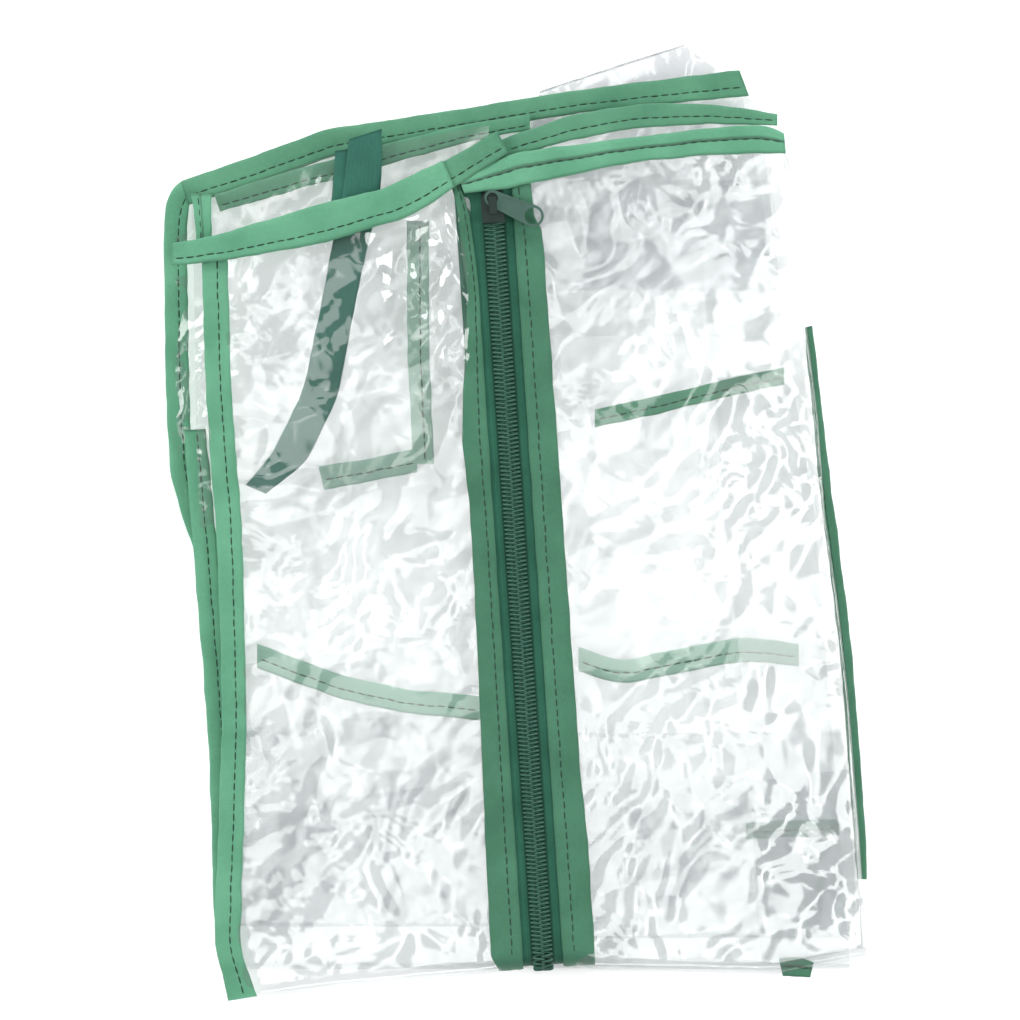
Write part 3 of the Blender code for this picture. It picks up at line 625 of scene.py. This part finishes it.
def capsule_rows(name, starts, ends, radius, material, sides=6):
    """One mesh of thread capsules, one from each start to each end, with rounded tips."""
    starts, ends = np.array(starts), np.array(ends)
    way = ends - starts
    long = np.linalg.norm(way, axis=1, keepdims=True)
    way = way / long
    up = np.array([0, 0, 1.0])
    side = np.cross(way, up)
    side /= np.linalg.norm(side, axis=1, keepdims=True)
    over = np.cross(side, way)
    stations = np.array([0.0, 0.10, 0.3, 0.7, 0.90, 1.0])
    girth = np.array([0.25, 0.8, 1.0, 1.0, 0.8, 0.25]) * radius
    dive = np.array([-1.0, -0.3, 0.1, 0.1, -0.3, -1.0]) * radius
    turn = np.linspace(0, 2 * math.pi, sides, endpoint=False)
    ring = (np.cos(turn)[None, None, :, None] * side[:, None, None, :]
            + np.sin(turn)[None, None, :, None] * over[:, None, None, :]) * girth[None, :, None, None]
    centre = starts[:, None, :] + (ends - starts)[:, None, :] * stations[None, :, None]
    centre = centre + over[:, None, :] * dive[None, :, None]
    points = (centre[:, :, None, :] + ring).reshape(-1, 3)
    n, m = len(stations), sides
    faces = []
    for k in range(len(starts)):
        base = k * n * m
        for i in range(n - 1):
            for j in range(m):
                a, b = base + i * m + j, base + i * m + (j + 1) % m
                faces.append((a, b, b + m, a + m))
        faces.append(tuple(base + j for j in range(m))[::-1])
        faces.append(tuple(base + (n - 1) * m + j for j in range(m)))
    mesh = bpy.data.meshes.new(name)
    mesh.from_pydata((points * MM).tolist(), [], faces)
    mesh.materials.append(material)
    mesh.shade_smooth()
    made = bpy.data.objects.new(name, mesh)
    bpy.context.scene.collection.objects.link(made)
    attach(made, "cover")
    return made


def stitch_row(name, line, seed, stitch=3.5, gap=0.32, radius=0.25, wander=0.2):
    """Lockstitches along a line of points in millimetres."""
    long = length_of(line)
    count = max(int(long / stitch), 2)
    ends = polyline(line, count * 6 + 1)
    k = np.arange(count) * 6
    share = gap / stitch / 2
    a, b = ends[k], ends[np.minimum(k + 6, len(ends) - 1)]
    shift = wander * noise(np.arange(count) * 0.9, np.full(count, 1.0), seed)[:, None]
    side = np.stack([-(b - a)[:, 1], (b - a)[:, 0], np.zeros(count)], 1) / stitch
    a, b = a + side * shift, b + side * shift
    return capsule_rows(name, a + (b - a) * share, b - (b - a) * share, radius, seam_thread)


def bound_edge(node_name, outer, inner, level, seam=0.72, seed=1, **more):
    """A binding that stands for its CAD solid, with its row of stitches."""
    made, line = sweep_tape(node_name + "_tape", outer, inner, level, seam=seam, seed=seed, **more)
    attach(made, "cover")
    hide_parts(node_name)
    keep = polyline(line, 400)
    steps = np.linspace(0, length_of(line), 400)
    keep = keep[(steps >= SEAM_INSET) & (steps <= steps[-1] - SEAM_INSET)]
    thread = stitch_row(node_name + "_stitches", keep, seed)


# %% [markdown]
# The bindings that show in the open, from the back leaf up to the doors. Each pair of lines is the
# fold of the tape and its open edge.

# %% Outer bindings
BACK, SIDE, ROOF = 6.0, 10.8, 13.2
bound_edge("back_top_binding",
           [(-115.6, 117.9), (-92.5, 126.1), (-64.2, 136.4), (-33.8, 140.6), (5.2, 147.1),
            (29.3, 150.6), (77.6, 156.5)],
           [(-113.2, 109.6), (-89.0, 117.0), (-60.4, 127.5), (-31.0, 132.3), (5.9, 138.9),
            (29.3, 142.4), (81.0, 147.4)], BACK, seam=0.66, seed=101, material=binding_shade)
bound_edge("back_left_binding",
           [(-114.4, 118.6), (-117.5, 118.0), (-120.6, 113.6), (-121.7, 106.1), (-121.75, 86.1),
            (-120.9, 38.5), (-119.4, 15.4), (-116.6, 5.3), (-111.4, -9.8)],
           [(-112.6, 110.0), (-113.0, 109.0), (-113.4, 107.0), (-113.6, 100.0), (-113.4, 86.0),
            (-112.6, 38.5), (-111.0, 17.0), (-108.2, 6.5), (-103.6, -7.0)], BACK - 0.3, seam=0.62,
           seed=103)
bound_edge("left_side_binding",
           [(-114.6, 31.6), (-111.4, -9.8), (-108.0, -51.6), (-105.9, -82.3), (-104.2, -137.0)],
           [(-107.0, 32.0), (-102.8, -9.0), (-99.4, -51.0), (-97.4, -82.0), (-95.8, -136.8)],
           SIDE, seam=0.6, seed=107)
# This edge gets the tape with the deeper painted shade.
bound_edge("right_side_binding",
           [(102.9, 67.8), (109.2, 14.3), (116.2, -40.9), (118.4, -67.1), (121.8, -115.7),
            (121.6, -123.7)],
           [(100.0, 67.0), (105.2, 13.3), (112.0, -41.6), (114.2, -67.6), (117.6, -115.9),
            (118.4, -123.4)], SIDE - 0.6, half=1.7, seed=109, material=binding_deep_shade)
bound_edge("side_top_binding",
           [(-7.5, 131.0), (-1.0, 133.6), (22.1, 141.4), (48.3, 145.1), (74.9, 143.7), (90.6, 140.9)],
           [(-5.5, 124.0), (-1.0, 125.8), (17.6, 131.3), (39.7, 135.8), (65.9, 137.3), (90.6, 136.9)],
           ROOF, seam=0.62, seed=113, material=binding_shade)
bound_edge("front_left_top_binding",
           [(-118.3, 96.1), (-104.2, 98.8), (-64.2, 110.9), (-46.6, 114.6), (-25.0, 124.7)],
           [(-118.3, 88.4), (-100.7, 89.9), (-64.2, 96.4), (-33.8, 106.1), (-20.9, 115.4)],
           FRONT + 2.2, seam=0.72, seed=127)
bound_edge("top_binding_overlap", [(-27.5, 123.0), (-6.2, 134.7)], [(-22.6, 114.2), (-2.1, 127.1)],
           FRONT + 1.3, seam=0.7, seed=131, material=binding_shade)
bound_edge("front_right_top_binding",
           [(-19.5, 118.8), (-10.0, 123.5), (-1.2, 127.6), (14.8, 129.6), (69.3, 136.4), (88.5, 137.2),
            (92.8, 134.0)],
           [(-17.5, 113.2), (-4.0, 114.6), (6.2, 116.8), (39.7, 123.9), (68.7, 126.7), (87.0, 127.0),
            (93.4, 127.0)],
           FRONT + 0.9, seam=0.5, seed=137)
bound_edge("left_front_binding",
           [(-108.5, 94.6), (-107.1, 48.8), (-105.0, 15.4), (-102.8, -9.8), (-101.3, -67.1),
            (-102.5, -107.8), (-104.2, -144.4), (-99.2, -165.4)],
           [(-99.2, 95.4), (-98.0, 48.8), (-96.3, 23.6), (-94.2, -1.2), (-92.5, -71.2),
            (-93.8, -110.4), (-94.8, -147.7), (-89.0, -163.7)], FRONT, seam=0.6, seed=139)

# %% [markdown]
# Seams of the leaves inside show through the front as soft green bands. They are the same tape, most
# of them painted paler: a painted haze that stands for the white light the clouded leaves over them scatter
# and mirror.

# %% Inner bindings
INNER, DEEP = 12.2, 8.4
inner_bands = {
    "upper_left_inner_binding": ([(-68, 19.5), (-50, 22.0), (-33.8, 25.5)],
                                 [(-66, 11.0), (-50, 14.0), (-33.8, 17.0)]),
    "upper_right_inner_binding": ([(27.6, 39.0), (48.3, 43.4), (72.8, 49.2), (93, 53.6)],
                                  [(27.6, 32.4), (48.3, 37.0), (72.8, 43.0), (93, 47.4)]),
    "lower_left_inner_binding": ([(-89, -42.0), (-61.4, -52.5), (-36, -58.0), (-12, -60.0)],
                                 [(-89, -50.5), (-61.4, -61.0), (-36, -66.5), (-12, -68.5)]),
    "lower_right_inner_binding": ([(22, -43.0), (36, -48.0), (66, -42.0), (79, -39.5), (98, -42)],
                                  [(22, -51.5), (36, -56.5), (66, -50.5), (79, -48.0), (98, -50)]),
    "lower_right_hem_binding": ([(80, -104.0), (112, -102.6)], [(80, -110.0), (112, -108.6)]),
    "left_upright_inner_binding": ([(-37.8, 104.0), (-37.4, 60.0), (-35.4, 20.0)],
                                   [(-29.8, 104.0), (-29.6, 60.0), (-28.0, 20.0)]),
}
DEEPER = {"left_upright_inner_binding", "upper_left_inner_binding", "lower_right_hem_binding"}
for number, (band, (outer_line, inner_line)) in enumerate(inner_bands.items()):
    shade = binding_shade if band.startswith("upper_right") else binding_painted_haze
    bound_edge(band, outer_line, inner_line, DEEP if band in DEEPER else INNER, half=0.6, seam=0.6,
               seed=151 + number, material=shade)

# %% [markdown]
# Between the back's binding and the doors' binding two more green edges show: the upper end of a side
# seam, and a long one that belongs to a deeper leaf.

# %% Edges between the two upper bindings
bound_edge("upper_side_binding", [(-112.2, 113.5), (-110.6, 104.0), (-110.2, 92.0)],
           [(-104.6, 113.5), (-104.8, 104.0), (-105.0, 92.0)], 12.9, half=0.7, seam=0.35, seed=161)
bound_edge("inner_top_binding",
           [(-104.0, 113.2), (-81.1, 120.6), (-62.1, 125.8), (-39.7, 132.3), (-15.5, 137.8), (5.2, 140.9)],
           [(-102.0, 107.2), (-77.6, 114.3), (-62.1, 118.5), (-39.7, 124.7), (-15.5, 131.6), (5.2, 135.4)],
           DEEP, half=0.7, seam=0.7, seed=165, material=binding_shade)

# %% [markdown]
# At the lower right corner a short end of tape sticks out below the hem.

# %% Hem corner tab
# The tab gets the tape with the deeper painted shade.
bound_edge("hem_corner_tab", [(91.1, -150.6), (96.9, -149.2), (103.2, -152.0)],
           [(92.5, -157.0), (97.6, -157.2), (102.0, -157.4)], 12.3, half=0.5, seam=0.5, seed=163,
           material=binding_deep_shade)

# %% [markdown]
# ## Webbing ties
# Two flat ribbons of ribbed webbing are sewn in at the top seam, to tie the rolled-up door. They are
# swept like the bindings but flat, with fine lengthwise ribs and a cut end.

# %% Tie ribbons
webbing = woven_tape("woven_polypropylene_webbing", "#34705f", "#2b6254", "#3d7c6b", warp=0.9,
                     weft=0.6, depth=0.09, rough=0.85, ribs=0.25)


RIBBON_STEP = 1.2


def ribbon(name, edge_a, edge_b, level, thick, seed, material, cross=5, ripple=0.15):
    """Flat closed ribbon between two edges."""
    long = max(length_of(edge_a), length_of(edge_b))
    count = max(int(long / RIBBON_STEP), 4)
    a, b = eased(edge_a, count, 3.0), eased(edge_b, count, 3.0)
    s = np.linspace(0, long, count)
    w = np.linspace(0, 1, cross)
    shares = np.concatenate([w, w[::-1]])
    edge_round = np.where((shares == 0) | (shares == 1), 0.35, 0.5)
    heights = edge_round * thick * np.r_[np.ones(cross), -np.ones(cross)]
    side = (b - a) / np.linalg.norm(b - a, axis=1, keepdims=True)
    a = a + side * (ripple * noise(s / 7, np.full(count, 1.0), seed))[:, None]
    b = b + side * (ripple * noise(s / 6, np.full(count, 2.0), seed))[:, None]
    place = a[:, None, :] * (1 - shares)[None, :, None] + b[:, None, :] * shares[None, :, None]
    wide = np.linalg.norm(b - a, axis=1)
    rise = shared_swell(a[:, 0], a[:, 1])
    bow = 0.25 * noise(s / 14, np.full(count, 3.0), seed)[:, None]
    z = level + rise[:, None] + bow + heights[None, :]
    marks = np.stack([np.broadcast_to(s[:, None], z.shape), wide[:, None] * shares[None, :],
                      np.zeros_like(z)], -1)
    return grid_object(name, np.concatenate([place, z[..., None]], -1), material, closed=True, marks=marks)


def tie(node_name, edge_a, edge_b, level, seed):
    made = ribbon(node_name + "_webbing", edge_a, edge_b, level, 1.0, seed, webbing, cross=9)
    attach(made, "cover")
    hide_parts(node_name)
    print(node_name, "length mm", round(length_of(edge_a)))


tie("outer_tie", [(-57.3, 132.0), (-58.0, 125.8), (-59.7, 110.9), (-62.8, 97.1), (-66.6, 76.4),
                  (-73.0, 45.4), (-84.0, 23.0), (-93.0, 12.6)],
    [(-45.9, 135.6), (-45.9, 123.3), (-46.6, 110.9), (-50.4, 97.1), (-54.9, 76.4),
     (-61.0, 43.4), (-72.0, 20.5), (-86.0, 9.6)], 13.8, 171)
tie("inner_tie", [(-62.2, 128.0), (-62.6, 118.0), (-63.8, 108.0)],
    [(-50.6, 129.5), (-50.8, 119.0), (-51.8, 108.0)], 12.9, 173)

# %% [markdown]
# ## Zip
# A nylon coil zip: one monofilament wound into flat loops along each woven tape, the two coils meshed
# like the teeth of a comb. Each coil is a real helix swept with a round section, half a loop out of
# step with the other. At the bottom fold the whole zip curves over and turns under.

# %% Zip tapes
# Under and beside the coil this tape is darkened nearly to black: painted shadow of the coil.
zip_cloth = woven_tape("woven_zip_tape_teal", "#2f6b56", "#265c48", "#387861", warp=0.8, weft=0.55,
                       depth=0.07, rough=0.85, ribs=0.35, coil_shadow_reach=3.8)
UNDER = math.pi * FOLD_R + 5.0


def zip_band(name, node_name, near, far, low, thick, seed, material, top=-9.0, seam=None,
             cross=7, bow=0.0):
    """Flat band along one side of the zip; near and far are distances from the coil's middle."""
    s = np.arange(top, ZIP_LONG - FOLD_R + UNDER, 1.1)
    near_t = np.broadcast_to(near(s) if callable(near) else near, s.shape)
    far_t = np.broadcast_to(far(s) if callable(far) else far, s.shape)
    shares = np.concatenate([np.linspace(0, 1, cross), np.linspace(1, 0, cross)])
    face = np.r_[np.ones(cross), np.zeros(cross)]
    t = near_t[:, None] * (1 - shares) + far_t[:, None] * shares
    edge = np.where((shares == 0) | (shares == 1), 0.8, 1.0)
    dip = 0.0 if seam is None else -0.22 * np.exp(-((shares - seam) / 0.09) ** 2)
    wave = 0.16 * noise(s / 12, np.full(len(s), 4.0), seed)[:, None]
    h = low + thick * face * edge + wave + dip + bow * np.sin(np.pi * shares)
    places = zip_place(s[:, None], t, h)
    marks = np.stack([np.broadcast_to(s[:, None], t.shape), t, np.zeros_like(t)], -1)
    made = grid_object(name, places, material, closed=True, marks=marks)
    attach(made, "cover")
    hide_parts(node_name)
    line = None
    if seam is not None:
        seam_t = near_t * (1 - seam) + far_t * seam
        line = zip_place(s, seam_t, low + thick + wave[:, 0] - 0.14)
    return made, line


TAPE_NEAR, TAPE_FAR = 0.5, 13.0
for side, sign in (("left", -1), ("right", 1)):
    made, _ = zip_band("zip_tape_" + side + "_cloth", "zip_tape_" + side, sign * TAPE_NEAR, sign * TAPE_FAR,
                       -0.3, 0.5, 181 + sign, zip_cloth, top=-14.0)

# %% [markdown]
# The doors' edges are bound over the zip tapes. These bands are narrow near the top, where the zip
# dives under the upper bindings, and widen below. Lines give distance along the zip and from its
# middle.

# %% Zip bindings
left_in = [(-16.0, 12.0), (-9.0, 10.2), (0.0, 8.2), (13.0, 7.3), (26.0, 6.7), (60.0, 6.9), (290.0, 6.9)]
left_out = [(-16.0, 15.2), (-9.0, 13.5), (0.0, 12.1), (13.0, 11.7), (26.0, 10.8), (38.0, 12.0),
            (60.0, 14.4), (76.0, 16.0), (101.0, 14.8), (145.0, 15.4), (195.0, 16.6), (222.0, 17.3),
            (255.0, 17.8), (ZIP_LONG, 15.6), (290.0, 15.6)]
right_in = [(-16.0, 6.9), (290.0, 6.9)]
right_out = [(-16.0, 13.4), (1.0, 14.0), (6.0, 16.4), (60.0, 16.8), (130.0, 17.0), (195.0, 17.2),
             (218.0, 18.2), (ZIP_LONG, 18.0), (290.0, 18.0)]


def zip_edge(points, sign, seed, ripple):
    xs, ys = np.array(points).T
    def at(s):
        return sign * (np.interp(s, xs, ys) + ripple * noise(s / 11, np.full(len(s), 6.0), seed))
    return at


# The zip bindings get the tape with the deeper painted shade.
for side, sign, in_points, out_points, top, seam in (("left", -1, left_in, left_out, -12.0, 0.33),
                                                     ("right", 1, right_in, right_out, -13.0, 0.36)):
    made, line = zip_band("zip_%s_binding_tape" % side, "zip_%s_binding" % side,
                          zip_edge(in_points, sign, 191, 0.18), zip_edge(out_points, sign, 193 + sign, 0.3),
                          0.5, 0.75, 195 + sign, binding_deep_shade, top=top, seam=seam, cross=11,
                          bow=0.12)
    thread = stitch_row("zip_%s_binding_stitches" % side, line[line[:, 2] > 8.0], 197 + sign, wander=0.3)

# %% [markdown]
# Each coil is one nylon monofilament, wound and heat-set, so it is smooth and a little shiny: every
# loop carries a fine highlight, which makes the chain read as rows of teeth.

# %% Coils
COIL_WIRE = 0.42


def coil_nylon():
    made, tree = new_material("moulded_nylon_coil_dark_green")
    where = node(tree, "ShaderNodeTexCoord").outputs["Object"]
    fleck = node(tree, "ShaderNodeTexNoise", {"Scale": 700.0, "Detail": 2.0}, Vector=where).outputs[0]
    tone = node(tree, "ShaderNodeMix", {"data_type": "RGBA", 6: linear("#28503f"), 7: linear("#3c7160")},
                i0=fleck).outputs[2]
    shader = node(tree, "ShaderNodeBsdfPrincipled", {"Roughness": 0.3, "IOR": 1.53}, Base_Color=tone)
    node(tree, "ShaderNodeOutputMaterial", None, Surface=shader.outputs[0])
    return made


nylon_coil = coil_nylon()
PITCH = 1.46


def coil(side, sign):
    """One wound monofilament from the slider to past the fold."""
    turns = (ZIP_LONG - FOLD_R + UNDER + 1.0) / PITCH
    per_turn = 14
    a = np.linspace(0, 2 * math.pi * turns, int(turns * per_turn))

    def flattened(v):
        return np.sign(v) * np.abs(v) ** 0.75

    s = -1.0 + PITCH * (a / (2 * math.pi) + (0.5 if sign > 0 else 0.0))
    t = sign * (1.45 + 1.75 * flattened(np.cos(a)))
    h = 1.42 + 0.52 * flattened(np.sin(a))
    line = zip_place(s, t, h)
    way = np.gradient(line, axis=0)
    way /= np.linalg.norm(way, axis=1, keepdims=True)
    ref = np.array([DOWN[0], DOWN[1], 0.0])
    one = np.cross(way, ref)
    one /= np.linalg.norm(one, axis=1, keepdims=True)
    two = np.cross(way, one)
    turn = np.linspace(0, 2 * math.pi, 6, endpoint=False)
    ring = np.cos(turn)[None, :, None] * one[:, None] + np.sin(turn)[None, :, None] * two[:, None]
    ring = ring * COIL_WIRE
    made = grid_object("zip_coil_%s_monofilament" % side, line[:, None] + ring, nylon_coil, closed=True)
    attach(made, "cover")
    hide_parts("zip_coil_" + side)
    print(made.name, "turns", round(turns))


coil("left", -1)
coil("right", 1)


# %% [markdown]
# ## Slider and pull
# Both are die-cast zinc under a thin dark green paint. The paint keeps some of the metal's broad
# gleam and hides its colour, and the cast surface below leaves it faintly uneven.

# %% Slider and pull finish
def painted_zinc(name, colour):
    made, tree = new_material(name)
    where = node(tree, "ShaderNodeTexCoord").outputs["Object"]
    fleck = node(tree, "ShaderNodeTexNoise", {"Scale": 500.0, "Detail": 3.0}, Vector=where).outputs[0]
    bump = node(tree, "ShaderNodeBump", {"Strength": 0.25, "Distance": 0.04 * MM}, Height=fleck).outputs[0]
    shader = node(tree, "ShaderNodeBsdfPrincipled", {"Base Color": linear(colour), "Roughness": 0.4,
                                                     "Metallic": 0.6}, Normal=bump)
    node(tree, "ShaderNodeOutputMaterial", None, Surface=shader.outputs[0])
    return made


for node_name, colour in (("zip_slider", "#2d3b36"), ("zip_pull_tab", "#4e6c61")):
    finish = painted_zinc("painted_zinc_" + node_name, colour)
    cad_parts[node_name].material_slots[0].material = finish
    print(node_name, "painted", colour)
